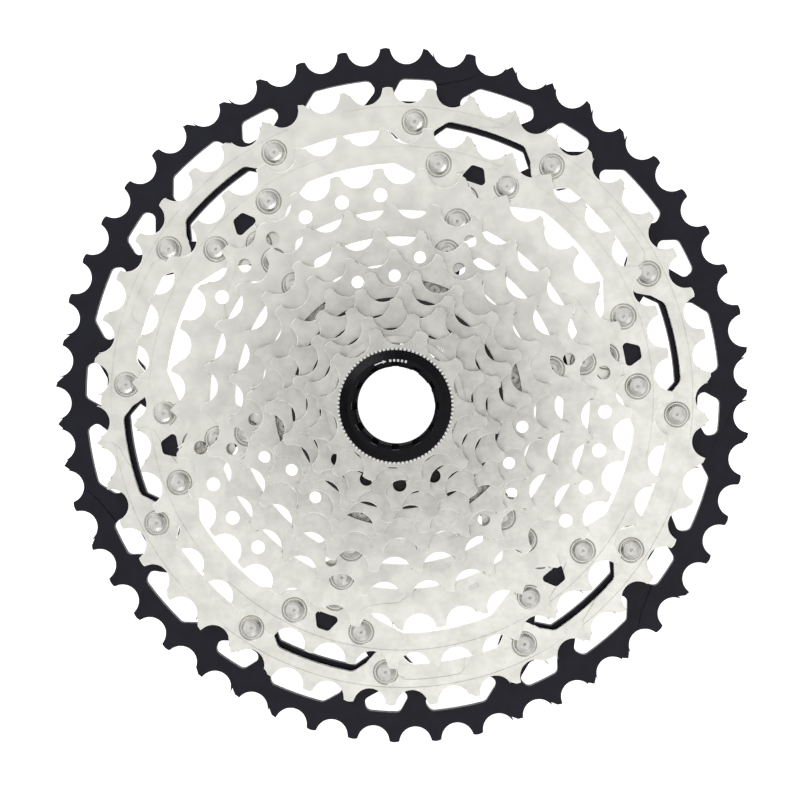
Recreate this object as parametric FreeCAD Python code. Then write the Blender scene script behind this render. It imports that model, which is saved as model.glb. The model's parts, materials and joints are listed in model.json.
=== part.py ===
"""Twelve-speed bicycle cassette, 10 to 51 teeth, with its lockring.

The axle is the Z axis. Z = 0 is the inboard face of the largest sprocket, on which the
cassette lies, and +Z runs outboard towards the lockring.
"""
import FreeCAD
import Part
import math
import os

Vector = FreeCAD.Vector

# --- chain and sprocket stack, millimetres and degrees ---
CHAIN_PITCH = 12.7
STACK_PITCH = 3.65
PLATE = 1.7
LARGEST_PLATE = 2.0
TEETH = [51, 45, 39, 33, 28, 24, 21, 18, 16, 14, 12, 10]
TOOTH_PHASE = {51: 0.77, 45: 4.29, 39: 0.90, 33: 7.95, 28: 2.28, 24: 6.5,
               21: 5.2, 18: 2.0, 16: 18.05, 14: 12.9, 12: 18.83, 10: 33.69}

# --- tooth form ---
ROOT_DROP = 3.93
GAP_RADIUS = 4.85
GAP_HALF_ANGLE = 75.0
TOOTH_HEIGHT = 4.85
EDGE_BEVEL = 0.17
ROOT_LINE_INSET = 1.1
ROOT_LINE_WIDTH = 0.4
ROOT_LINE_DEPTH = 0.35

# --- relief of the front faces ---
DEEP_RAMP = 0.75
SHALLOW_RAMP = 0.6
STRIP_DEPTH = 0.5

# --- how far a tooth falls short of full height: clockwise corner, crest, other corner ---
WHOLE = (0.3, 0.0, 0.3)
SLANTED = (2.6, 0.5, 0.1)
SOFTENED = (1.6, 0.2, 0.1)
POINTED = (2.2, 0.4, 2.2)
LOWERED = (2.9, 1.2, 1.0)
STUB = (2.9, 2.5, 2.7)

# --- arms: six of them, one every 60 degrees ---
ARMS = 6
ARM_STEP = 360.0 / ARMS
ARM_ANGLE = 12.0

# --- rivet circles ---
RIM_RIVET_R = 81.8
RIM_RIVET_SPREAD = 15.0
PAIR_RIVET_R = 69.8
PAIR_RIVET_SPREAD = 8.6
INNER_39_RIVET_R = 61.8
RIVET_33_R = 54.6
RIVET_28_R = 45.0
RIVET_24_R = 33.5
RIVET_21_R = 26.5

# --- rivet form ---
SHANK_R = 1.5
RIVET_HOLE_R = 1.55
HEAD_R = 3.1
HEAD_TOP_R = 2.4
HEAD_H = 0.7
HEAD_SINK = 0.4
HEAD_FLOOR_R = 1.5
HEAD_HOLLOW = 0.3
RECESS_FLOOR_R = 3.4
RECESS_TOP_R = 3.9
DIMPLE_R = 0.45
DIMPLE_DEPTH = 0.7
TAIL_R = 2.6
TAIL_H = 0.8
TAIL_RECESS_R = 2.9

# --- freehub spline ---
SPLINES = 23
SPLINE_TIP_R = 15.9
SPLINE_ROOT_R = 17.0
SPLINE_TOOTH_SHARE = 0.45
SEAT_Z = 4.0
CARRIER_Z = 13.2

# --- lockring and washer ---
THREAD_R = 14.3
THREAD_PITCH = 1.0
THREAD_DEPTH = 0.55
THREAD_END_Z = 35.0
FLANGE_R = 15.2
FLANGE_H = 1.6
WASHER_R = 15.9
WASHER_NOTCH = 0.4
WASHER_TEETH = 86
WASHER_H = 0.6
COLLAR_BORE_R = 14.6
TOOL_TIP_R = 10.7
TOOL_ROOT_R = 11.9
TOOL_NOTCH_HALF = 5.3
FACE_R = 12.9
FACE_DROP = 0.9
TOOL_NOTCHES = 12
TOOL_DEPTH = 6.0

# --- spacers reach this far past the tooth gaps of the sprocket above ---
SPACER_SHOW = 0.6
LARGE_SPACER_SHOW = 1.1

TALL = 60.0


def polar(radius, degrees, z=0.0):
    angle = math.radians(degrees)
    return Vector(radius * math.cos(angle), radius * math.sin(angle), z)


def front_z(teeth):
    return LARGEST_PLATE + STACK_PITCH * TEETH.index(teeth)


def back_z(teeth):
    thickness = LARGEST_PLATE if teeth == TEETH[0] else PLATE
    return front_z(teeth) - thickness


def root_radius(teeth):
    return CHAIN_PITCH / (2 * math.sin(math.pi / teeth)) - ROOT_DROP


def between_arms():
    return [angle + ARM_STEP / 2 for angle in arm_angles()]


def arm_angles(spread=0.0):
    """Angles of the arms, or of a pair of places either side of each arm."""
    offsets = [0.0] if spread == 0 else [-spread, spread]
    return [ARM_ANGLE + ARM_STEP * k + offset for k in range(ARMS) for offset in offsets]


def cylinder(radius, z0, z1, centre=Vector(0, 0, 0)):
    return Part.makeCylinder(radius, z1 - z0, Vector(centre.x, centre.y, z0))


def tube(inner, outer, z0, z1):
    return cylinder(outer, z0, z1).cut(cylinder(inner, z0 - 1, z1 + 1))


def prism(wire, z0, z1):
    face = Part.Face(wire)
    face.translate(Vector(0, 0, z0))
    return face.extrude(Vector(0, 0, z1 - z0))


def outline(corners):
    """Closed wire through (radius, angle) corners. Equal radii are joined by an arc about Z."""
    edges = []
    for k, (radius, angle) in enumerate(corners):
        next_radius, next_angle = corners[(k + 1) % len(corners)]
        sweep = (next_angle - angle + 180.0) % 360.0 - 180.0
        start = polar(radius, angle)
        end = polar(next_radius, next_angle)
        if abs(radius - next_radius) < 1e-6 and abs(sweep) > 1.0:
            edges.append(Part.Arc(start, polar(radius, angle + sweep / 2), end).toShape())
        else:
            edges.append(Part.makeLine(start, end))
    return Part.Wire(edges)


def window(corners, z0, z1, corner_radius):
    """Prism through the corners, with its upright edges rounded."""
    solid = prism(outline(corners), z0, z1)
    if corner_radius == 0:
        return solid
    upright = [edge for edge in solid.Edges
               if abs(edge.BoundBox.ZLength - (z1 - z0)) < 1e-6
               and edge.BoundBox.XLength < 1e-6 and edge.BoundBox.YLength < 1e-6]
    return solid.makeFillet(corner_radius, upright)


def repeated(corners, step, count):
    """The same corners turned round the axis, in order, as one closed list."""
    return [(radius, angle + step * k) for k in range(count) for radius, angle in corners]


def beam(start, end, width, z0, z1):
    """Straight bar with rounded ends."""
    along = end - start
    side = Vector(-along.y, along.x, 0).normalize() * (width / 2)
    reach = Vector(along.x, along.y, 0).normalize() * (width / 2)
    edges = [Part.makeLine(start + side, end + side),
             Part.Arc(end + side, end + reach, end - side).toShape(),
             Part.makeLine(end - side, start - side),
             Part.Arc(start - side, start - reach, start + side).toShape()]
    return prism(Part.Wire(edges), z0, z1)


# ------------------------------------------------------------------ teeth

def tooth_wire(teeth, inset, z, shaped):
    """Outline of all the teeth, drawn in by inset. shaped names the teeth that are cut."""
    step = 360.0 / teeth
    gap_radius = GAP_RADIUS + inset
    gap_centre = root_radius(teeth) + GAP_RADIUS
    tip = root_radius(teeth) + TOOTH_HEIGHT - inset
    half = math.radians(GAP_HALF_ANGLE)

    def local(x, y, degrees):
        angle = math.radians(degrees)
        return Vector(x * math.cos(angle) - y * math.sin(angle),
                      x * math.sin(angle) + y * math.cos(angle), z)

    def corner(gap_angle, side, drop):
        """Where the straight flank meets the land, at the tip radius less drop."""
        x = gap_centre - gap_radius * math.cos(half)
        y = gap_radius * math.sin(half)
        target = tip - drop
        slope_x, slope_y = math.sin(half), math.cos(half)
        b = x * slope_x + y * slope_y
        c = x * x + y * y - target * target
        run = -b + math.sqrt(b * b - c)
        return local(x + run * slope_x, side * (y + run * slope_y), gap_angle)

    edges = []
    for k in range(teeth):
        centre = TOOTH_PHASE[teeth] + k * step
        low_drop, crest_drop, high_drop = shaped.get(k, WHOLE)
        next_low_drop = shaped.get((k + 1) % teeth, WHOLE)[0]
        before, after = centre - step / 2, centre + step / 2
        low, high = corner(before, 1, low_drop), corner(after, -1, high_drop)
        crest = polar(tip - crest_drop, centre, z)
        if k in shaped:
            edges += [Part.makeLine(low, crest), Part.makeLine(crest, high)]
        else:
            edges.append(Part.Arc(low, crest, high).toShape())
        flank_x = gap_centre - gap_radius * math.cos(half)
        flank_y = gap_radius * math.sin(half)
        foot_low, foot_high = local(flank_x, -flank_y, after), local(flank_x, flank_y, after)
        edges.append(Part.makeLine(high, foot_low))
        bottom = local(gap_centre - gap_radius, 0, after)
        edges.append(Part.Arc(foot_low, bottom, foot_high).toShape())
        edges.append(Part.makeLine(foot_high, corner(after, 1, next_low_drop)))
    return Part.Wire(edges)


def toothed_blank(teeth, shaped=None):
    """Solid toothed disc with bevelled edges on both faces."""
    z0, z1 = back_z(teeth), front_z(teeth)
    levels = [(EDGE_BEVEL, z0), (0.0, z0 + EDGE_BEVEL), (0.0, z1 - EDGE_BEVEL), (EDGE_BEVEL, z1)]
    wires = [tooth_wire(teeth, inset, z, shaped or {}) for inset, z in levels]
    return Part.makeLoft(wires, True, True)


def nearest_teeth(teeth, angles):
    step = 360.0 / teeth
    return [round((angle - TOOTH_PHASE[teeth]) / step) % teeth for angle in angles]


def thirds(angles):
    """The same angles repeated at three places round the sprocket."""
    return [angle + 120.0 * k for k in range(3) for angle in angles]


def shaped_teeth(teeth, forms):
    """Which teeth are cut for the shifting chain. forms maps a cut to angles in one third."""
    return {k: form for form, angles in forms.items() for k in nearest_teeth(teeth, thirds(angles))}


# ------------------------------------------------------------------ shared cutters

def splined_bore(z0, z1):
    tooth = 360.0 / SPLINES * SPLINE_TOOTH_SHARE
    flank = 360.0 / SPLINES * 0.06
    half = tooth / 2
    gap = 360.0 / SPLINES - half - flank
    corners = [(SPLINE_TIP_R, -half), (SPLINE_TIP_R, half),
               (SPLINE_ROOT_R, half + flank), (SPLINE_ROOT_R, gap)]
    return prism(outline(repeated(corners, 360.0 / SPLINES, SPLINES)), z0, z1)


def holes(radius, circle, angles):
    return [cylinder(radius, -1, TALL, polar(circle, angle)) for angle in angles]


def rivet_seats(teeth, circle, angles):
    """Rivet holes with the shallow, sloping-sided recess that each head sits in."""
    floor_z = front_z(teeth) - HEAD_SINK
    height = HEAD_SINK + 1
    widest = RECESS_FLOOR_R + (RECESS_TOP_R - RECESS_FLOOR_R) * height / HEAD_SINK
    recesses = [Part.makeCone(RECESS_FLOOR_R, widest, height, polar(circle, angle, floor_z))
                for angle in angles]
    return holes(RIVET_HOLE_R, circle, angles) + recesses


def ramp(teeth, corners, depth=DEEP_RAMP):
    """Wedge-shaped pocket in the front face, at three places, that lets the chain climb.

    It is deepest at its anticlockwise end and runs out to nothing at its clockwise end.
    """
    z = front_z(teeth)
    shallow_angle = min(angle for radius, angle in corners)
    deep_angle = max(angle for radius, angle in corners)
    radius = sum(radius for radius, angle in corners) / len(corners)
    length = radius * math.radians(deep_angle - shallow_angle)
    wedge = window(corners, z, z + 3, 0)
    wedge.rotate(polar(radius, shallow_angle, z), polar(1, shallow_angle),
                 -math.degrees(math.atan(depth / length)))
    wedges = []
    for k in range(3):
        turned = wedge.copy()
        turned.rotate(Vector(0, 0, 0), Vector(0, 0, 1), 120.0 * k)
        wedges.append(turned)
    return wedges


def root_line(teeth):
    """Fine circular groove just inside the tooth gaps, left by the coining of the teeth."""
    inner = root_radius(teeth) - ROOT_LINE_INSET
    z = front_z(teeth)
    return tube(inner, inner + ROOT_LINE_WIDTH, z - ROOT_LINE_DEPTH, z + 1)


def sunk_strips(teeth, corners):
    """Flat shallow pockets at three places."""
    z = front_z(teeth)
    return [window([(radius, angle + 120.0 * k) for radius, angle in corners],
                   z - STRIP_DEPTH, z + 1, 0) for k in range(3)]


# ------------------------------------------------------------------ rivets

def rivet(place, z_back, z_front):
    """Rivet with a dished head, dimpled in the middle, and a flat tail below z_back."""
    base = z_front - HEAD_SINK
    top = base + HEAD_SINK + HEAD_H
    profile = [Part.makeLine(Vector(0, 0, z_back - TAIL_H), Vector(TAIL_R, 0, z_back - TAIL_H)),
               Part.makeLine(Vector(TAIL_R, 0, z_back - TAIL_H), Vector(TAIL_R, 0, z_back)),
               Part.makeLine(Vector(TAIL_R, 0, z_back), Vector(SHANK_R, 0, z_back)),
               Part.makeLine(Vector(SHANK_R, 0, z_back), Vector(SHANK_R, 0, base)),
               Part.makeLine(Vector(SHANK_R, 0, base), Vector(HEAD_R, 0, base)),
               Part.makeLine(Vector(HEAD_R, 0, base), Vector(HEAD_R, 0, base + HEAD_SINK)),
               Part.makeLine(Vector(HEAD_R, 0, base + HEAD_SINK), Vector(HEAD_TOP_R, 0, top)),
               Part.makeLine(Vector(HEAD_TOP_R, 0, top),
                             Vector(HEAD_FLOOR_R, 0, top - HEAD_HOLLOW)),
               Part.makeLine(Vector(HEAD_FLOOR_R, 0, top - HEAD_HOLLOW),
                             Vector(DIMPLE_R, 0, top - HEAD_HOLLOW)),
               Part.makeLine(Vector(DIMPLE_R, 0, top - HEAD_HOLLOW),
                             Vector(0, 0, top - DIMPLE_DEPTH)),
               Part.makeLine(Vector(0, 0, top - DIMPLE_DEPTH), Vector(0, 0, z_back - TAIL_H))]
    solid = Part.Face(Part.Wire(profile)).revolve(Vector(0, 0, 0), Vector(0, 0, 1), 360)
    solid.translate(Vector(place.x, place.y, 0))
    return solid


def rivet_group(circle, angles, z_back, z_front):
    return Part.makeCompound([rivet(polar(circle, angle), z_back, z_front) for angle in angles])


# ------------------------------------------------------------------ sprockets

def sprocket_51t():
    teeth = 51
    shaped = shaped_teeth(teeth, {SLANTED: (85.5, 57.3, 8.0), LOWERED: (50.3, 1.0),
                                  SOFTENED: (114.3,), POINTED: (71.5, 64.3)})
    body = toothed_blank(teeth, shaped)
    rivets = arm_angles(RIM_RIVET_SPREAD)
    inner = [(81.7, 3.6), (81.7, 20.4), (78.5, 22.8), (77.4, 31.0), (81.7, 33.5), (81.7, 50.5),
             (77.4, 53.0), (78.5, 61.2)]
    cutters = [window(repeated(inner, ARM_STEP, ARMS), -1, TALL, 1.0)]
    for angle in rivets:
        small = [(88.3, angle + 5.2), (88.3, angle - 0.9), (91.6, angle - 3.9),
                 (94.9, angle - 3.2), (94.9, angle + 2.9)]
        large = [(87.7, angle + 10.0), (91.8, angle + 7.5), (94.9, angle + 8.6),
                 (94.9, angle + 18.7), (87.7, angle + 24.0)]
        cutters.append(window(small, -1, TALL, 1.9))
        cutters.append(window(large, -1, TALL, 2.1))
    cutters += holes(RIVET_HOLE_R, RIM_RIVET_R, rivets)
    cutters += [cylinder(TAIL_RECESS_R, -1, TAIL_H, polar(RIM_RIVET_R, angle)) for angle in rivets]
    climb = [(105.5, 120.0), (98.6, 119.0), (96.5, 115.2), (94.4, 113.0), (93.6, 110.0),
             (93.0, 107.8), (93.0, 101.0), (105.5, 101.0)]
    second = [(105.5, 75.5), (98.6, 76.5), (96.5, 78.5), (95.0, 81.0), (93.5, 84.0),
              (93.5, 66.0), (105.5, 66.0)]
    return body.cut(cutters + ramp(teeth, climb) + ramp(teeth, second, SHALLOW_RAMP))


def sprocket_45t():
    teeth = 45
    shaped = shaped_teeth(teeth, {SLANTED: (108.3, 76.3), SOFTENED: (100.3, 52.3, 44.3, 4.3),
                                  POINTED: (116.3, 68.3), STUB: (60.3,)})
    inner = [(75.5, -5.3), (75.5, -0.7), (80.0, 1.4), (83.0, 3.8), (83.0, 20.2), (80.0, 22.6),
             (75.5, 24.7), (75.5, 29.3), (79.5, 32.2), (79.5, 51.8)]
    body = toothed_blank(teeth, shaped)
    cutters = [window(repeated(inner, ARM_STEP, ARMS), -1, TALL, 3.0)]
    cutters += rivet_seats(teeth, RIM_RIVET_R, arm_angles(RIM_RIVET_SPREAD))
    climb = [(93.0, 115.2), (87.0, 114.0), (86.0, 111.2), (83.3, 108.4), (79.0, 105.0),
             (79.0, 95.0), (93.0, 95.0)]
    second = [(93.0, 67.9), (87.4, 68.5), (85.3, 69.8), (83.6, 73.5), (79.0, 79.0),
              (79.0, 55.0), (93.0, 55.0)]
    strip = [(79.0, 149.2), (82.6, 149.6), (84.0, 151.2), (84.0, 162.5), (82.6, 163.5),
             (79.0, 164.2)]
    cutters += sunk_strips(teeth, strip) + [root_line(teeth)]
    return body.cut(cutters + ramp(teeth, climb) + ramp(teeth, second))


def sprocket_39t():
    teeth = 39
    shaped = shaped_teeth(teeth, {SLANTED: (102.4, 74.7), SOFTENED: (111.7, 93.2, 47.1, 37.8),
                                  POINTED: (56.3, 65.5)})
    inner = [(57.8, 8.2), (57.8, 15.8), (65.0, 23.5), (69.2, 31.0), (69.2, 53.0), (65.0, 60.5)]
    body = toothed_blank(teeth, shaped)
    cutters = [window(repeated(inner, ARM_STEP, ARMS), -1, TALL, 2.5)]
    cutters += rivet_seats(teeth, PAIR_RIVET_R, arm_angles(PAIR_RIVET_SPREAD))
    cutters += rivet_seats(teeth, INNER_39_RIVET_R, arm_angles())
    for angle in arm_angles():
        dome = [(67.0, angle - 4.1), (67.0, angle + 3.0), (71.9, angle + 0.9), (71.9, angle - 2.0)]
        cutters.append(window(dome, -1, TALL, 1.2))
    climb = [(81.0, 108.6), (75.2, 107.6), (73.8, 106.3), (71.2, 103.8), (68.5, 101.5),
             (68.5, 92.0), (81.0, 92.0)]
    second = [(81.0, 65.9), (75.3, 66.3), (73.2, 67.3), (71.8, 70.2), (68.5, 76.0),
              (68.5, 52.5), (81.0, 52.5)]
    cutters.append(root_line(teeth))
    return body.cut(cutters + ramp(teeth, climb) + ramp(teeth, second))


def sprocket_33t():
    teeth = 33
    shaped = shaped_teeth(teeth, {SLANTED: (29.8, 51.6, 73.4), POINTED: (62.5,), STUB: (7.95,)})
    inner = [(50.0, 7.4), (50.0, 16.6), (55.4, 21.0), (55.4, 63.0)]
    body = toothed_blank(teeth, shaped)
    cutters = [window(repeated(inner, ARM_STEP, ARMS), -1, TALL, 1.5)]
    cutters += rivet_seats(teeth, RIVET_33_R, arm_angles())
    step = 360.0 / teeth
    for first, count in ((95.2, 6), (193.4, 4), (324.3, 5)):
        cutters += holes(2.0, 59.9, [first + step * k for k in range(count)])
    climb = [(69.0, 70.4), (62.9, 69.2), (61.6, 66.0), (59.8, 63.2), (55.0, 58.0),
             (55.0, 48.0), (69.0, 48.0)]
    second = [(69.0, 19.6), (63.2, 19.1), (61.3, 21.0), (60.1, 24.5), (59.4, 30.0),
              (55.0, 36.0), (55.0, 9.0), (69.0, 9.0)]
    return body.cut(cutters + ramp(teeth, climb) + ramp(teeth, second, SHALLOW_RAMP))


def sprocket_28t():
    teeth = 28
    shaped = shaped_teeth(teeth, {SLANTED: (53.7, 118.0), SOFTENED: (92.3, 40.9, 28.0),
                                  POINTED: (105.1,)})
    inner = [(40.3, 6.4), (40.3, 17.6), (47.5, 23.0), (47.5, 61.0)]
    body = toothed_blank(teeth, shaped)
    cutters = [window(repeated(inner, ARM_STEP, ARMS), -1, TALL, 1.5)]
    cutters += rivet_seats(teeth, RIVET_28_R, arm_angles())
    cutters += holes(1.75, 50.5, (66.0, 14.0, 247.0, 196.0))
    climb = [(59.0, 104.2), (52.9, 103.2), (51.2, 98.5), (50.0, 94.0), (46.5, 87.0),
             (46.5, 78.0), (59.0, 78.0)]
    return body.cut(cutters + ramp(teeth, climb, SHALLOW_RAMP))


def sprocket_24t():
    teeth = 24
    shaped = shaped_teeth(teeth, {SLANTED: (51.5, 111.5, 81.5), SOFTENED: (36.5, 66.5)})
    inner = [(28.9, 4.0), (28.9, 20.0), (39.5, 25.0), (39.5, 59.0)]
    body = toothed_blank(teeth, shaped)
    cutters = [window(repeated(inner, ARM_STEP, ARMS), -1, TALL, 1.5)]
    cutters += rivet_seats(teeth, RIVET_24_R, arm_angles())
    cutters += holes(1.75, 41.8, (65.5, 81.5, 187.0, 202.5, 306.0, 321.0))
    climb = [(51.0, 48.0), (44.3, 46.4), (43.2, 42.5), (42.2, 38.8), (39.0, 33.0),
             (39.0, 26.5), (51.0, 26.5)]
    return body.cut(cutters + ramp(teeth, climb, SHALLOW_RAMP))


def sprocket_21t():
    teeth = 21
    shaped = shaped_teeth(teeth, {SLANTED: (39.5, 56.6, 108.1), SOFTENED: (73.8, 90.9)})
    body = toothed_blank(teeth, shaped)
    cutters = [splined_bore(-1, TALL)]
    cutters += rivet_seats(teeth, RIVET_21_R, between_arms())
    cutters += holes(1.75, 36.0, (91.5, 108.5, 212.5, 229.0, 331.5, 349.0))
    for angle in arm_angles():
        opening = [(30.2, angle - 8.5), (30.2, angle + 8.5), (35.3, angle + 10), (35.3, angle - 10)]
        cutters.append(window(opening, -1, TALL, 1.0))
    climb = [(45.0, 55.0), (39.0, 51.0), (36.6, 43.0), (36.6, 29.5), (45.0, 29.5)]
    return body.cut(cutters + ramp(teeth, climb, SHALLOW_RAMP))


def loose_sprocket(teeth, web_holes=()):
    """Small sprocket that slides on the spline by itself."""
    body = toothed_blank(teeth)
    return body.cut([splined_bore(-1, TALL)] + list(web_holes))


def sprocket_12t():
    body = loose_sprocket(12)
    return body.cut(interlock(12, clearance=0.05))


def interlock(teeth, clearance):
    """Six lugs behind the smallest sprocket, which key it to the next one."""
    z = front_z(teeth)
    depth = 1.2 + clearance
    inner, outer = 17.5 - clearance, 19.0 + clearance
    half = 7.0 + math.degrees(clearance / inner)
    return [window([(inner, angle - half), (inner, angle + half),
                    (outer, angle + half), (outer, angle - half)], z - depth, z, 0)
            for angle in arm_angles()]


def sprocket_10t():
    teeth = 10
    plate = toothed_blank(teeth)
    shoulder = cylinder(19.0, front_z(12), back_z(teeth))
    plate = plate.fuse([shoulder] + interlock(12, clearance=0.0))
    bore = cylinder(COLLAR_BORE_R, -1, TALL)
    hub_relief = cylinder(SPLINE_ROOT_R + 0.2, -1, back_z(teeth))
    return plate.cut([bore, hub_relief])


def spacer(lower, upper, outer=21.5):
    """Plain ring that holds two neighbouring sprockets apart."""
    return tube(SPLINE_ROOT_R + 0.15, outer, front_z(lower), back_z(upper))


# ------------------------------------------------------------------ carriers

def spider_main():
    """Six forked arms that carry the four largest sprockets."""
    arm_z, fork_z = SEAT_Z, 3.0
    hub_top = CARRIER_Z
    pieces = [cylinder(22.5, SEAT_Z, hub_top)]
    for centre in arm_angles():
        collar_33 = polar(RIVET_33_R, centre)
        collar_inner = polar(INNER_39_RIVET_R, centre)
        pieces.append(cylinder(3.0, arm_z, back_z(33), collar_33))
        pieces.append(cylinder(4.0, fork_z, back_z(39), collar_inner))
        pieces.append(beam(polar(PAIR_RIVET_R, centre - PAIR_RIVET_SPREAD),
                           polar(PAIR_RIVET_R, centre + PAIR_RIVET_SPREAD),
                           6.4, fork_z, back_z(39)))
        pieces.append(beam(collar_33, collar_inner, 6.0, fork_z, back_z(39)))
        for side in (-1, 1):
            pair = polar(PAIR_RIVET_R, centre + side * PAIR_RIVET_SPREAD)
            rim = polar(RIM_RIVET_R, centre + side * RIM_RIVET_SPREAD)
            foot = polar(20.5, centre + side * 17.0)
            pieces.append(beam(foot, collar_33, 5.4, arm_z, 9.5))
            pieces.append(beam(collar_33, pair, 5.0, fork_z, back_z(39)))
            pieces.append(cylinder(4.2, fork_z, back_z(39), pair))
            pieces.append(beam(pair, rim, 5.0, front_z(51), back_z(45)))
            pieces.append(cylinder(4.4, front_z(51), back_z(45), rim))
            pieces.append(cylinder(4.2, front_z(51), back_z(45), pair))
    body = pieces[0].fuse(pieces[1:]).removeSplitter()
    cutters = [splined_bore(-1, TALL)]
    cutters += holes(RIVET_HOLE_R, RIM_RIVET_R, arm_angles(RIM_RIVET_SPREAD))
    cutters += holes(RIVET_HOLE_R, PAIR_RIVET_R, arm_angles(PAIR_RIVET_SPREAD))
    cutters += holes(RIVET_HOLE_R, INNER_39_RIVET_R, arm_angles())
    cutters += holes(RIVET_HOLE_R, RIVET_33_R, arm_angles())
    tail_z = front_z(51) + TAIL_H
    cutters += [cylinder(TAIL_RECESS_R, -1, tail_z, polar(PAIR_RIVET_R, angle))
                for angle in arm_angles(PAIR_RIVET_SPREAD)]
    return body.cut(cutters)


def carrier_small():
    """Six arms and six ears that carry the three middle sprockets."""
    pieces = [cylinder(21.5, CARRIER_Z, back_z(21))]
    ear_base = 18.2
    for centre in arm_angles():
        inner, outer = polar(RIVET_24_R, centre), polar(RIVET_28_R, centre)
        ear = polar(RIVET_21_R, centre + ARM_STEP / 2)
        pieces.append(beam(polar(19.0, centre), outer, 8.0, CARRIER_Z, back_z(28)))
        pieces.append(beam(polar(19.0, centre), inner, 7.4, CARRIER_Z, back_z(24)))
        pieces.append(beam(polar(19.0, centre + ARM_STEP / 2), ear, 7.0, ear_base, back_z(21)))
    body = pieces[0].fuse(pieces[1:]).removeSplitter()
    cutters = [splined_bore(-1, TALL)]
    cutters += holes(RIVET_HOLE_R, RIVET_28_R, arm_angles())
    cutters += holes(RIVET_HOLE_R, RIVET_24_R, arm_angles())
    cutters += holes(RIVET_HOLE_R, RIVET_21_R, between_arms())
    return body.cut(cutters)


# ------------------------------------------------------------------ lockring

def lockring():
    flange_z = front_z(10) + WASHER_H
    top = flange_z + FLANGE_H
    points = [(TOOL_TIP_R, THREAD_END_Z)]
    points.append((THREAD_R - THREAD_DEPTH, THREAD_END_Z))
    turns = int((flange_z - 1.0 - THREAD_END_Z) / THREAD_PITCH)
    for k in range(turns):
        z = THREAD_END_Z + k * THREAD_PITCH
        points += [(THREAD_R, z + THREAD_PITCH * 0.45), (THREAD_R, z + THREAD_PITCH * 0.55),
                   (THREAD_R - THREAD_DEPTH, z + THREAD_PITCH)]
    points += [(THREAD_R - THREAD_DEPTH, flange_z), (FLANGE_R, flange_z),
               (FLANGE_R, top - FACE_DROP), (FACE_R, top), (TOOL_TIP_R + 0.3, top),
               (TOOL_TIP_R, top - 0.3)]
    corners = [Vector(radius, 0, z) for radius, z in points]
    body = Part.Face(Part.makePolygon(corners + corners[:1])).revolve(
        Vector(0, 0, 0), Vector(0, 0, 1), 360)
    half = TOOL_NOTCH_HALF
    notches = [window([(TOOL_TIP_R - 0.5, angle - half), (TOOL_TIP_R - 0.5, angle + half),
                       (TOOL_ROOT_R, angle + half), (TOOL_ROOT_R, angle - half)],
                      top - TOOL_DEPTH, top + 1, 0)
               for angle in [360.0 / TOOL_NOTCHES * k for k in range(TOOL_NOTCHES)]]
    return body.cut(notches)


def lockring_washer():
    """Thin ring whose outer edge is cut into fine teeth."""
    step = 360.0 / WASHER_TEETH
    points = []
    for k in range(WASHER_TEETH):
        points += [polar(WASHER_R, k * step), polar(WASHER_R, (k + 0.55) * step),
                   polar(WASHER_R - WASHER_NOTCH, (k + 0.65) * step),
                   polar(WASHER_R - WASHER_NOTCH, (k + 0.9) * step)]
    z = front_z(10)
    body = prism(Part.makePolygon(points + points[:1]), z, z + WASHER_H)
    return body.cut(cylinder(COLLAR_BORE_R, -1, TALL))


# ------------------------------------------------------------------ all pieces

def cassette():
    web_14 = holes(1.9, 22.3, (223.0, 248.1, 272.3, 297.6))
    return {
        "sprocket_51t": sprocket_51t(),
        "sprocket_45t": sprocket_45t(),
        "sprocket_39t": sprocket_39t(),
        "sprocket_33t": sprocket_33t(),
        "sprocket_28t": sprocket_28t(),
        "sprocket_24t": sprocket_24t(),
        "sprocket_21t": sprocket_21t(),
        "sprocket_18t": loose_sprocket(18),
        "sprocket_16t": loose_sprocket(16),
        "sprocket_14t": loose_sprocket(14, web_14),
        "sprocket_12t": sprocket_12t(),
        "sprocket_10t": sprocket_10t(),
        "spacer_18t_21t": spacer(21, 18),
        "spacer_16t_18t": spacer(18, 16, root_radius(16) + LARGE_SPACER_SHOW),
        "spacer_14t_16t": spacer(16, 14, root_radius(14) + SPACER_SHOW),
        "spacer_12t_14t": spacer(14, 12, root_radius(12) + SPACER_SHOW),
        "spider_main": spider_main(),
        "carrier_small": carrier_small(),
        "rivets_51t": rivet_group(RIM_RIVET_R, arm_angles(RIM_RIVET_SPREAD), TAIL_H, front_z(45)),
        "rivets_39t_outer": rivet_group(PAIR_RIVET_R, arm_angles(PAIR_RIVET_SPREAD),
                                        front_z(51) + TAIL_H, front_z(39)),
        "rivets_39t_inner": rivet_group(INNER_39_RIVET_R, arm_angles(), 3.0, front_z(39)),
        "rivets_33t": rivet_group(RIVET_33_R, arm_angles(), 3.0, front_z(33)),
        "rivets_28t": rivet_group(RIVET_28_R, arm_angles(), CARRIER_Z, front_z(28)),
        "rivets_24t": rivet_group(RIVET_24_R, arm_angles(), CARRIER_Z, front_z(24)),
        "rivets_21t": rivet_group(RIVET_21_R, between_arms(), 18.2, front_z(21)),
        "lockring": lockring(),
        "lockring_washer": lockring_washer(),
    }


def main():
    os.makedirs("parts", exist_ok=True)
    for name, shape in cassette().items():
        shape.exportStep("parts/" + name + ".step")
        print(name, "solids", len(shape.Solids), "valid", shape.isValid(),
              "volume", round(shape.Volume, 1))


main()
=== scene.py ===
import json
import math

import bpy
from mathutils import Matrix, Vector


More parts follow.
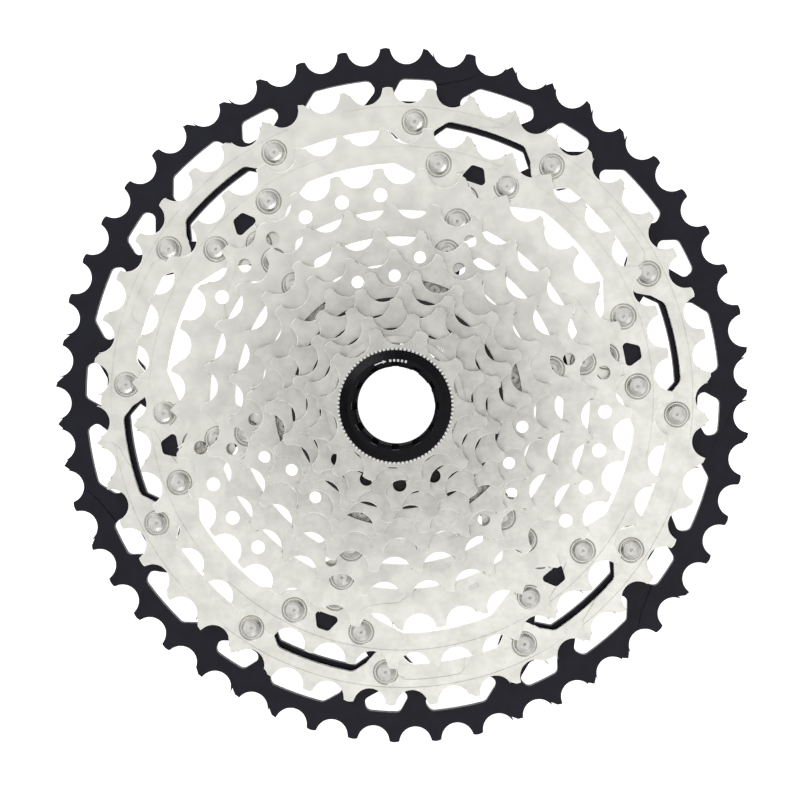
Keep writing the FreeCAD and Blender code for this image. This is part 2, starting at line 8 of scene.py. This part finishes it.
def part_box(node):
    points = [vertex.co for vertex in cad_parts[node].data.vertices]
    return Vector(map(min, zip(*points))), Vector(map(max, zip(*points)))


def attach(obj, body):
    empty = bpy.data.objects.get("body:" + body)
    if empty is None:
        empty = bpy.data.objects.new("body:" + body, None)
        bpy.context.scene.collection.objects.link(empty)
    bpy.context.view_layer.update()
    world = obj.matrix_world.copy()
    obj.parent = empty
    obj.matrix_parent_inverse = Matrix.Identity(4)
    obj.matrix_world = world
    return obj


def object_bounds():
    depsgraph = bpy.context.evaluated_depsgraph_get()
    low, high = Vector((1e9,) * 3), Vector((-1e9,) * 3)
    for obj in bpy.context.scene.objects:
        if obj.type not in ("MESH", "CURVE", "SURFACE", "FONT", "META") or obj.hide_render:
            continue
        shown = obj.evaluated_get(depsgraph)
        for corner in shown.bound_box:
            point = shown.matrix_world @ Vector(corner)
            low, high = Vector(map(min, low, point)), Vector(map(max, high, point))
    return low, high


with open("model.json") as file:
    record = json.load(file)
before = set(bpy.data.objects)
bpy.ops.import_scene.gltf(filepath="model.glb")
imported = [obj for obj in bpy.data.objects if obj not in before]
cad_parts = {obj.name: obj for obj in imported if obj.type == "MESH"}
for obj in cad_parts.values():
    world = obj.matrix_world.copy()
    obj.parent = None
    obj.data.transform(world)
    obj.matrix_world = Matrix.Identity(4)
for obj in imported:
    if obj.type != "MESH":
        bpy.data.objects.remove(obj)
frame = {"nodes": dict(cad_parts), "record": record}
cad_low, cad_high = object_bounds()

STACK = "cassette_stack"
WASHER_TEETH = 86

# Camera: nearly square on to the front, a little towards +X and +Y of the axle
CAMERA_PLACE = Vector((0.0144, 0.0204, 0.4365))
CAMERA_TARGET = Vector((-0.00012, -0.0003, 0.002))
LENS_MM = 65.5
SENSOR_MM = 36.0

# Studio sky: brightest round one direction and dimmest far from it.
# The limits are cosines of the angle from that direction.
SKY_AZIMUTH, SKY_ELEVATION = -52, 66
SKY_EDGE, SKY_MIDDLE = 0.35, 1.0
EDGE_GLOW, MIDDLE_GLOW = 0.10, 1.16

# A bright band along the horizon, behind the floor's edge. Heights are sines of the elevation.
BAND_FULL, BAND_END = 0.09, 0.15
BAND_GLOW = 1.0

# Key light: degrees, metres and watts
KEY_AZIMUTH, KEY_ELEVATION = 130, 38
KEY_DISTANCE, KEY_SIZE, KEY_POWER = 1.2, 0.70, 5.5

# Floor, and the gap between it and the cassette, in metres
FLOOR_HALF_WIDTH = 4.0
FLOOR_GAP = 0.0002

# Marks on the lockring's face: a print this thick, on a circle of this radius
LOCKRING_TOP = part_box("lockring")[1].z
MARK_THICKNESS = 0.00003
MARK_RADIUS = 0.0124
ARROW_SHAFT_HALF, ARROW_HEAD_HALF = 0.00014, 0.00046
DASH_HALF = 0.00034
DASH_STARTS = (97.5, 92.6, 87.7, 82.8, 77.9)
DASH_SPAN = 2.6

# Rounded end of a dash: (share of the end's length, share of the full width)
ROUND_END = ((0.0, 0.45), (0.35, 0.85), (1.0, 1.0))

# Raised strokes that stand in for a sprocket's stamp: spacing, width, height and lean in metres
STROKE_PITCH = 0.00062
STROKE_WIDTH = 0.00026
STROKE_HEIGHT = 0.00005
STROKE_LEAN = 0.00028

# Each row of strokes: teeth of its sprocket, radius, degrees, number of strokes, stroke length
STAMPS = ((33, 0.0587, 291.8, 5, 0.0015),
          (28, 0.0499, 286.0, 5, 0.0014),
          (24, 0.0420, 291.5, 5, 0.0014),
          (21, 0.0374, 295.3, 5, 0.0013),
          (12, 0.0196, 51.6, 4, 0.0010),
          (10, 0.0172, 69.7, 4, 0.0010))


# ------------------------------------------------------------------ node helpers

class Nodes:
    """Short calls for building one procedural material."""

    def __init__(self, name):
        self.material = bpy.data.materials.new(name)
        self.material.use_nodes = True
        self.tree = self.material.node_tree
        self.shader = self.tree.nodes["Principled BSDF"]
        self.place = self.tree.nodes.new("ShaderNodeTexCoord").outputs["Object"]

    def link(self, source, target):
        self.tree.links.new(source, target)

    def set(self, **values):
        for socket, value in values.items():
            self.shader.inputs[socket.replace("_", " ")].default_value = value

    def noise(self, size, detail=3.0, stretch=None):
        """Cloudy value from 0 to 1 whose features are about size metres across."""
        node = self.tree.nodes.new("ShaderNodeTexNoise")
        node.inputs["Scale"].default_value = 1.0 / size
        node.inputs["Detail"].default_value = detail
        if stretch:
            mapping = self.tree.nodes.new("ShaderNodeMapping")
            mapping.inputs["Scale"].default_value = stretch
            self.link(self.place, mapping.inputs["Vector"])
            self.link(mapping.outputs["Vector"], node.inputs["Vector"])
        else:
            self.link(self.place, node.inputs["Vector"])
        return node.outputs["Fac"]

    def math(self, operation, a, b=0.0):
        node = self.tree.nodes.new("ShaderNodeMath")
        node.operation = operation
        for value, socket in ((a, node.inputs[0]), (b, node.inputs[1])):
            if isinstance(value, (int, float)):
                socket.default_value = value
            else:
                self.link(value, socket)
        return node.outputs[0]

    def ramp(self, value, low, high, start=0.35, end=0.65):
        """Maps value from start..end to low..high."""
        node = self.tree.nodes.new("ShaderNodeMapRange")
        self.link(value, node.inputs["Value"])
        node.inputs["From Min"].default_value = start
        node.inputs["From Max"].default_value = end
        node.inputs["To Min"].default_value = low
        node.inputs["To Max"].default_value = high
        return node.outputs["Result"]

    def colour(self, factor, first, second):
        """Base colour that runs from first to second."""
        self.link(self.mix(factor, first, second), self.shader.inputs["Base Color"])

    def roughness(self, value):
        self.link(value, self.shader.inputs["Roughness"])

    def mix(self, factor, first, second):
        node = self.tree.nodes.new("ShaderNodeMix")
        node.data_type = "RGBA"
        self.link(factor, node.inputs["Factor"])
        node.inputs["A"].default_value = (*first, 1.0)
        node.inputs["B"].default_value = (*second, 1.0)
        return node.outputs["Result"]

    def split(self):
        """X, Y and Z of the place."""
        node = self.tree.nodes.new("ShaderNodeSeparateXYZ")
        self.link(self.place, node.inputs[0])
        return node.outputs

    def radius(self):
        """Distance from the axle."""
        x, y = self.split()[0:2]
        return self.math("SQRT", self.math("ADD", self.math("MULTIPLY", x, x),
                                           self.math("MULTIPLY", y, y)))

    def turning(self, pitch):
        """Fine rings about the axle, as a lathe leaves them."""
        return self.math("SINE", self.math("MULTIPLY", self.radius(), 2 * math.pi / pitch))

    def rays(self, count):
        """Waves that run round the axle, from -1 to 1."""
        x, y = self.split()[0:2]
        return self.math("SINE", self.math("MULTIPLY", self.math("ARCTAN2", y, x), count))

    def bump(self, height, distance, strength=1.0):
        node = self.tree.nodes.new("ShaderNodeBump")
        node.inputs["Distance"].default_value = distance
        node.inputs["Strength"].default_value = strength
        self.link(height, node.inputs["Height"])
        self.link(node.outputs["Normal"], self.shader.inputs["Normal"])


# ------------------------------------------------------------------ materials

def nickel_steel():
    """Nickel plating with painted shade that darkens it towards the axle."""
    n = Nodes("nickel_steel")
    n.set(Metallic=1.0)
    cloud = n.math("MULTIPLY", n.ramp(n.noise(0.006, 4.0), 0, 1), 0.35)
    # Painted shade darkens the plates towards the axle; the clouding added to it is the plating's
    # own.
    axle_shade = n.ramp(n.radius(), 0.65, 0.0, start=0.030, end=0.066)
    n.colour(n.math("ADD", cloud, axle_shade), (0.862, 0.854, 0.796), (0.520, 0.513, 0.478))
    n.roughness(n.ramp(n.noise(0.0015, 3.0), 0.29, 0.37))
    n.bump(n.noise(0.0011, 4.0), 0.000030, 0.7)
    return n.material


def black_alloy():
    n = Nodes("black_alloy")
    n.set(Specular_IOR_Level=0.22)
    n.colour(n.ramp(n.noise(0.004, 4.0), 0, 1), (0.0072, 0.0072, 0.0135), (0.0104, 0.0104, 0.0195))
    n.roughness(n.ramp(n.noise(0.0008, 2.0), 0.34, 0.46))
    n.bump(n.noise(0.0003, 2.0), 0.00001, 0.6)
    return n.material


def carrier_alloy():
    n = Nodes("carrier_alloy")
    n.set(Metallic=1.0)
    n.colour(n.ramp(n.noise(0.003, 3.0), 0, 1), (0.50, 0.50, 0.49), (0.42, 0.42, 0.41))
    n.roughness(n.ramp(n.noise(0.001, 3.0), 0.45, 0.62))
    n.bump(n.noise(0.0003, 2.0), 0.00003)
    return n.material


def spacer_dark():
    n = Nodes("spacer_dark")
    n.set(Specular_IOR_Level=0.3)
    n.colour(n.ramp(n.noise(0.002, 3.0), 0, 1), (0.020, 0.020, 0.022), (0.034, 0.034, 0.035))
    n.roughness(n.ramp(n.noise(0.001, 3.0), 0.5, 0.7))
    n.bump(n.noise(0.0004, 2.0), 0.00002)
    return n.material


def rivet_steel():
    n = Nodes("rivet_steel")
    n.set(Metallic=1.0)
    n.colour(n.ramp(n.noise(0.0015, 3.0), 0, 1), (0.76, 0.75, 0.715), (0.66, 0.65, 0.62))
    n.roughness(n.ramp(n.noise(0.0008, 3.0), 0.42, 0.50))
    n.bump(n.noise(0.0004, 3.0), 0.00001, 0.6)
    return n.material


def lockring_black():
    """Turned black metal, rougher in the bore than on the face."""
    n = Nodes("lockring_black")
    n.set(Specular_IOR_Level=0.13)
    n.colour(n.ramp(n.noise(0.002, 3.0), 0, 1), (0.0030, 0.0030, 0.0042), (0.0050, 0.0050, 0.0070))
    face = n.ramp(n.radius(), 0.75, 0.26, start=0.0112, end=0.0122)
    n.roughness(n.math("ADD", face, n.ramp(n.noise(0.0009, 3.0), 0.0, 0.08)))
    n.bump(n.turning(0.00022), 0.000004, 0.7)
    return n.material


def washer_steel():
    """Steel with a painted shade line for each tooth, between the serrations."""
    n = Nodes("washer_steel")
    n.set(Metallic=1.0)
    # Painted shade: one dark stripe between each pair of serration teeth.
    serration_shade = n.ramp(n.rays(WASHER_TEETH), 0, 1, start=-0.5, end=0.2)
    n.colour(serration_shade, (0.08, 0.08, 0.08), (0.74, 0.74, 0.71))
    n.roughness(n.ramp(n.noise(0.0006, 2.0), 0.20, 0.30))
    n.bump(n.noise(0.0003, 2.0), 0.00001)
    return n.material


def marking_white():
    n = Nodes("marking_white")
    n.colour(n.ramp(n.noise(0.0006, 3.0), 0, 1), (0.86, 0.86, 0.86), (0.76, 0.76, 0.77))
    n.roughness(n.ramp(n.noise(0.0004, 2.0), 0.50, 0.62))
    n.bump(n.noise(0.00015, 2.0), 0.000004)
    return n.material


def stamped_edge():
    n = Nodes("stamped_edge")
    n.set(Metallic=1.0)
    n.colour(n.ramp(n.noise(0.0004, 3.0), 0, 1), (0.93, 0.93, 0.91), (0.84, 0.84, 0.81))
    n.roughness(n.ramp(n.noise(0.0003, 2.0), 0.30, 0.42))
    n.bump(n.noise(0.0002, 2.0), 0.000006)
    return n.material


def pale_floor():
    n = Nodes("pale_floor")
    n.set(Base_Color=(0.86, 0.86, 0.86, 1.0), Emission_Color=(1.0, 1.0, 1.0, 1.0),
          Emission_Strength=1.0)
    n.roughness(n.ramp(n.noise(0.05, 2.0), 0.75, 0.85))
    return n.material


def dress_cad_nodes():
    makers = {"nickel_steel": nickel_steel, "black_alloy": black_alloy,
              "carrier_alloy": carrier_alloy, "spacer_dark": spacer_dark,
              "rivet_steel": rivet_steel, "lockring_black": lockring_black,
              "washer_steel": washer_steel}
    made = {slot: maker() for slot, maker in makers.items()}
    for entry in frame["record"]["subparts"]:
        node = frame["nodes"][entry["node"]]
        for slot in node.material_slots:
            slot.material = made[entry["material_slot"]]


# ------------------------------------------------------------------ surface marks

def polar(radius, degrees, z):
    angle = math.radians(degrees)
    return (radius * math.cos(angle), radius * math.sin(angle), z)


def sprocket_front(teeth):
    """Height of a sprocket's outboard face."""
    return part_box("sprocket_%dt" % teeth)[1].z


def add_piece(name, points, faces, material, body):
    mesh = bpy.data.meshes.new(name)
    mesh.from_pydata(points, [], faces)
    mesh.materials.append(material)
    piece = bpy.data.objects.new(name, mesh)
    bpy.context.collection.objects.link(piece)
    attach(piece, body)
    return piece


def curved_plate(sections, z, thickness):
    """Thin solid that follows an arc. Each section is (degrees, inner radius, outer radius)."""
    points = []
    for degrees, inner, outer in sections:
        points += [polar(inner, degrees, z), polar(outer, degrees, z),
                   polar(outer, degrees, z + thickness), polar(inner, degrees, z + thickness)]
    faces = [(3, 2, 1, 0)]
    for k in range(len(sections) - 1):
        for side in range(4):
            a, b = 4 * k + side, 4 * k + (side + 1) % 4
            faces.append((a, b, b + 4, a + 4))
    last = 4 * (len(sections) - 1)
    faces.append((last, last + 1, last + 2, last + 3))
    return points, faces


def joined(solids):
    """Several (points, faces) solids as one."""
    points, faces = [], []
    for more_points, more_faces in solids:
        base = len(points)
        points += more_points
        faces += [tuple(base + index for index in face) for face in more_faces]
    return points, faces


def section(degrees, half):
    """Inner and outer radius of the print at one angle, half its width to either side."""
    return (degrees, MARK_RADIUS - half, MARK_RADIUS + half)


def bar(start, end, half, round_end=0.5):
    """Curved dash with rounded ends. It runs clockwise, from start degrees down to end."""
    first = [section(start - round_end * along, half * wide) for along, wide in ROUND_END]
    last = [section(end + round_end * along, half * wide) for along, wide in reversed(ROUND_END)]
    sections = first + [section((start + end) / 2, half)] + last
    return curved_plate(sections, LOCKRING_TOP, MARK_THICKNESS)


def turning_mark():
    """Generic arrow and dashes, printed on the lockring's flat face."""
    shaft = [section(degrees, ARROW_SHAFT_HALF) for degrees in (116.5, 113.0, 109.5, 106.0)]
    head = [section(105.9, ARROW_HEAD_HALF),
            section(103.5, ARROW_HEAD_HALF * 0.5),
            section(101.2, ARROW_HEAD_HALF * 0.04)]
    arrow = curved_plate(shaft + head, LOCKRING_TOP, MARK_THICKNESS)
    dashes = [bar(start, start - DASH_SPAN, DASH_HALF) for start in DASH_STARTS]
    points, faces = joined([arrow] + dashes)
    add_piece("lockring_turning_mark", points, faces, marking_white(), "lockring")


def ridge(radius, degrees, z, length, width, height, lean):
    """Thin roof-shaped ridge that points away from the axle, leaning over by lean metres."""
    across = width / radius * 90 / math.pi
    top = degrees + lean / radius * 180 / math.pi
    inner, outer = radius - length / 2, radius + length / 2
    tuck = length * 0.12
    points = [polar(inner, degrees - across, z), polar(inner, degrees + across, z),
              polar(outer, top + across, z), polar(outer, top - across, z),
              polar(inner + tuck, degrees, z + height), polar(outer - tuck, top, z + height)]
    faces = [(3, 2, 1, 0), (0, 1, 4), (1, 2, 5, 4), (2, 3, 5), (3, 0, 4, 5)]
    return points, faces


def stamp(teeth, radius, degrees, strokes, length, material):
    """Row of plain raised strokes on a sprocket, where its size would be marked."""
    pitch = STROKE_PITCH / radius * 180 / math.pi
    first = degrees - (strokes - 1) / 2 * pitch
    row = [ridge(radius, first + k * pitch, sprocket_front(teeth),
                 length, STROKE_WIDTH, STROKE_HEIGHT, STROKE_LEAN) for k in range(strokes)]
    points, faces = joined(row)
    add_piece("stamp_%dt" % teeth, points, faces, material, STACK)


def stamps():
    material = stamped_edge()
    for row in STAMPS:
        stamp(*row, material)


# ------------------------------------------------------------------ studio

def floor():
    far = FLOOR_HALF_WIDTH
    mesh = bpy.data.meshes.new("floor")
    corners = [(-far, -far, 0), (far, -far, 0), (far, far, 0), (-far, far, 0)]
    mesh.from_pydata(corners, [], [(0, 1, 2, 3)])
    plane = bpy.data.objects.new("floor", mesh)
    plane.location.z = cad_low.z - FLOOR_GAP
    mesh.materials.append(pale_floor())
    bpy.context.collection.objects.link(plane)


def direction(azimuth, elevation):
    """Unit vector, from degrees counter-clockwise from +X and degrees above the floor."""
    a, e = math.radians(azimuth), math.radians(elevation)
    return Vector((math.cos(a) * math.cos(e), math.sin(a) * math.cos(e), math.sin(e)))


def soft_box(name, azimuth, elevation, distance, size, power):
    """Square area light that faces the cassette."""
    away = direction(azimuth, elevation)
    data = bpy.data.lights.new(name, "AREA")
    data.size = size
    data.energy = power
    lamp = bpy.data.objects.new(name, data)
    lamp.location = away * distance
    lamp.rotation_mode = "QUATERNION"
    lamp.rotation_quaternion = (-away).to_track_quat("-Z", "Y")
    bpy.context.collection.objects.link(lamp)


def map_range(tree, value, limits, results):
    """Maps value from the two limits to the two results."""
    node = tree.nodes.new("ShaderNodeMapRange")
    tree.links.new(value, node.inputs["Value"])
    node.inputs["From Min"].default_value, node.inputs["From Max"].default_value = limits
    node.inputs["To Min"].default_value, node.inputs["To Max"].default_value = results
    return node.outputs["Result"]


def sky():
    """Tilted glow, or the band along the horizon where that is brighter."""
    world = bpy.data.worlds.new("studio")
    world.use_nodes = True
    tree = world.node_tree
    background = tree.nodes["Background"]
    background.inputs["Color"].default_value = (1.0, 1.0, 1.0, 1.0)
    place = tree.nodes.new("ShaderNodeTexCoord").outputs["Generated"]
    toward = tree.nodes.new("ShaderNodeVectorMath")
    toward.operation = "DOT_PRODUCT"
    toward.inputs[1].default_value = direction(SKY_AZIMUTH, SKY_ELEVATION)
    tree.links.new(place, toward.inputs[0])
    split = tree.nodes.new("ShaderNodeSeparateXYZ")
    tree.links.new(place, split.inputs[0])
    glow = map_range(tree, toward.outputs["Value"],
                     (SKY_EDGE, SKY_MIDDLE), (EDGE_GLOW, MIDDLE_GLOW))
    band = map_range(tree, split.outputs["Z"], (BAND_FULL, BAND_END), (BAND_GLOW, 0.0))
    brighter = tree.nodes.new("ShaderNodeMath")
    brighter.operation = "MAXIMUM"
    tree.links.new(glow, brighter.inputs[0])
    tree.links.new(band, brighter.inputs[1])
    tree.links.new(brighter.outputs["Value"], background.inputs["Strength"])
    bpy.context.scene.world = world


def studio():
    sky()
    soft_box("key", KEY_AZIMUTH, KEY_ELEVATION, KEY_DISTANCE, KEY_SIZE, KEY_POWER)
    bpy.context.scene.view_settings.view_transform = "Standard"


def camera():
    data = bpy.data.cameras.new("camera")
    data.lens = LENS_MM
    data.sensor_width = SENSOR_MM
    eye = bpy.data.objects.new("camera", data)
    forward = (CAMERA_TARGET - CAMERA_PLACE).normalized()
    right = forward.cross(Vector((0, 1, 0))).normalized()
    up = right.cross(forward)
    turn = Matrix((right, up, -forward)).transposed()
    eye.matrix_world = Matrix.Translation(CAMERA_PLACE) @ turn.to_4x4()
    bpy.context.collection.objects.link(eye)
    bpy.context.scene.camera = eye


camera()
floor()
studio()
dress_cad_nodes()
turning_mark()
stamps()
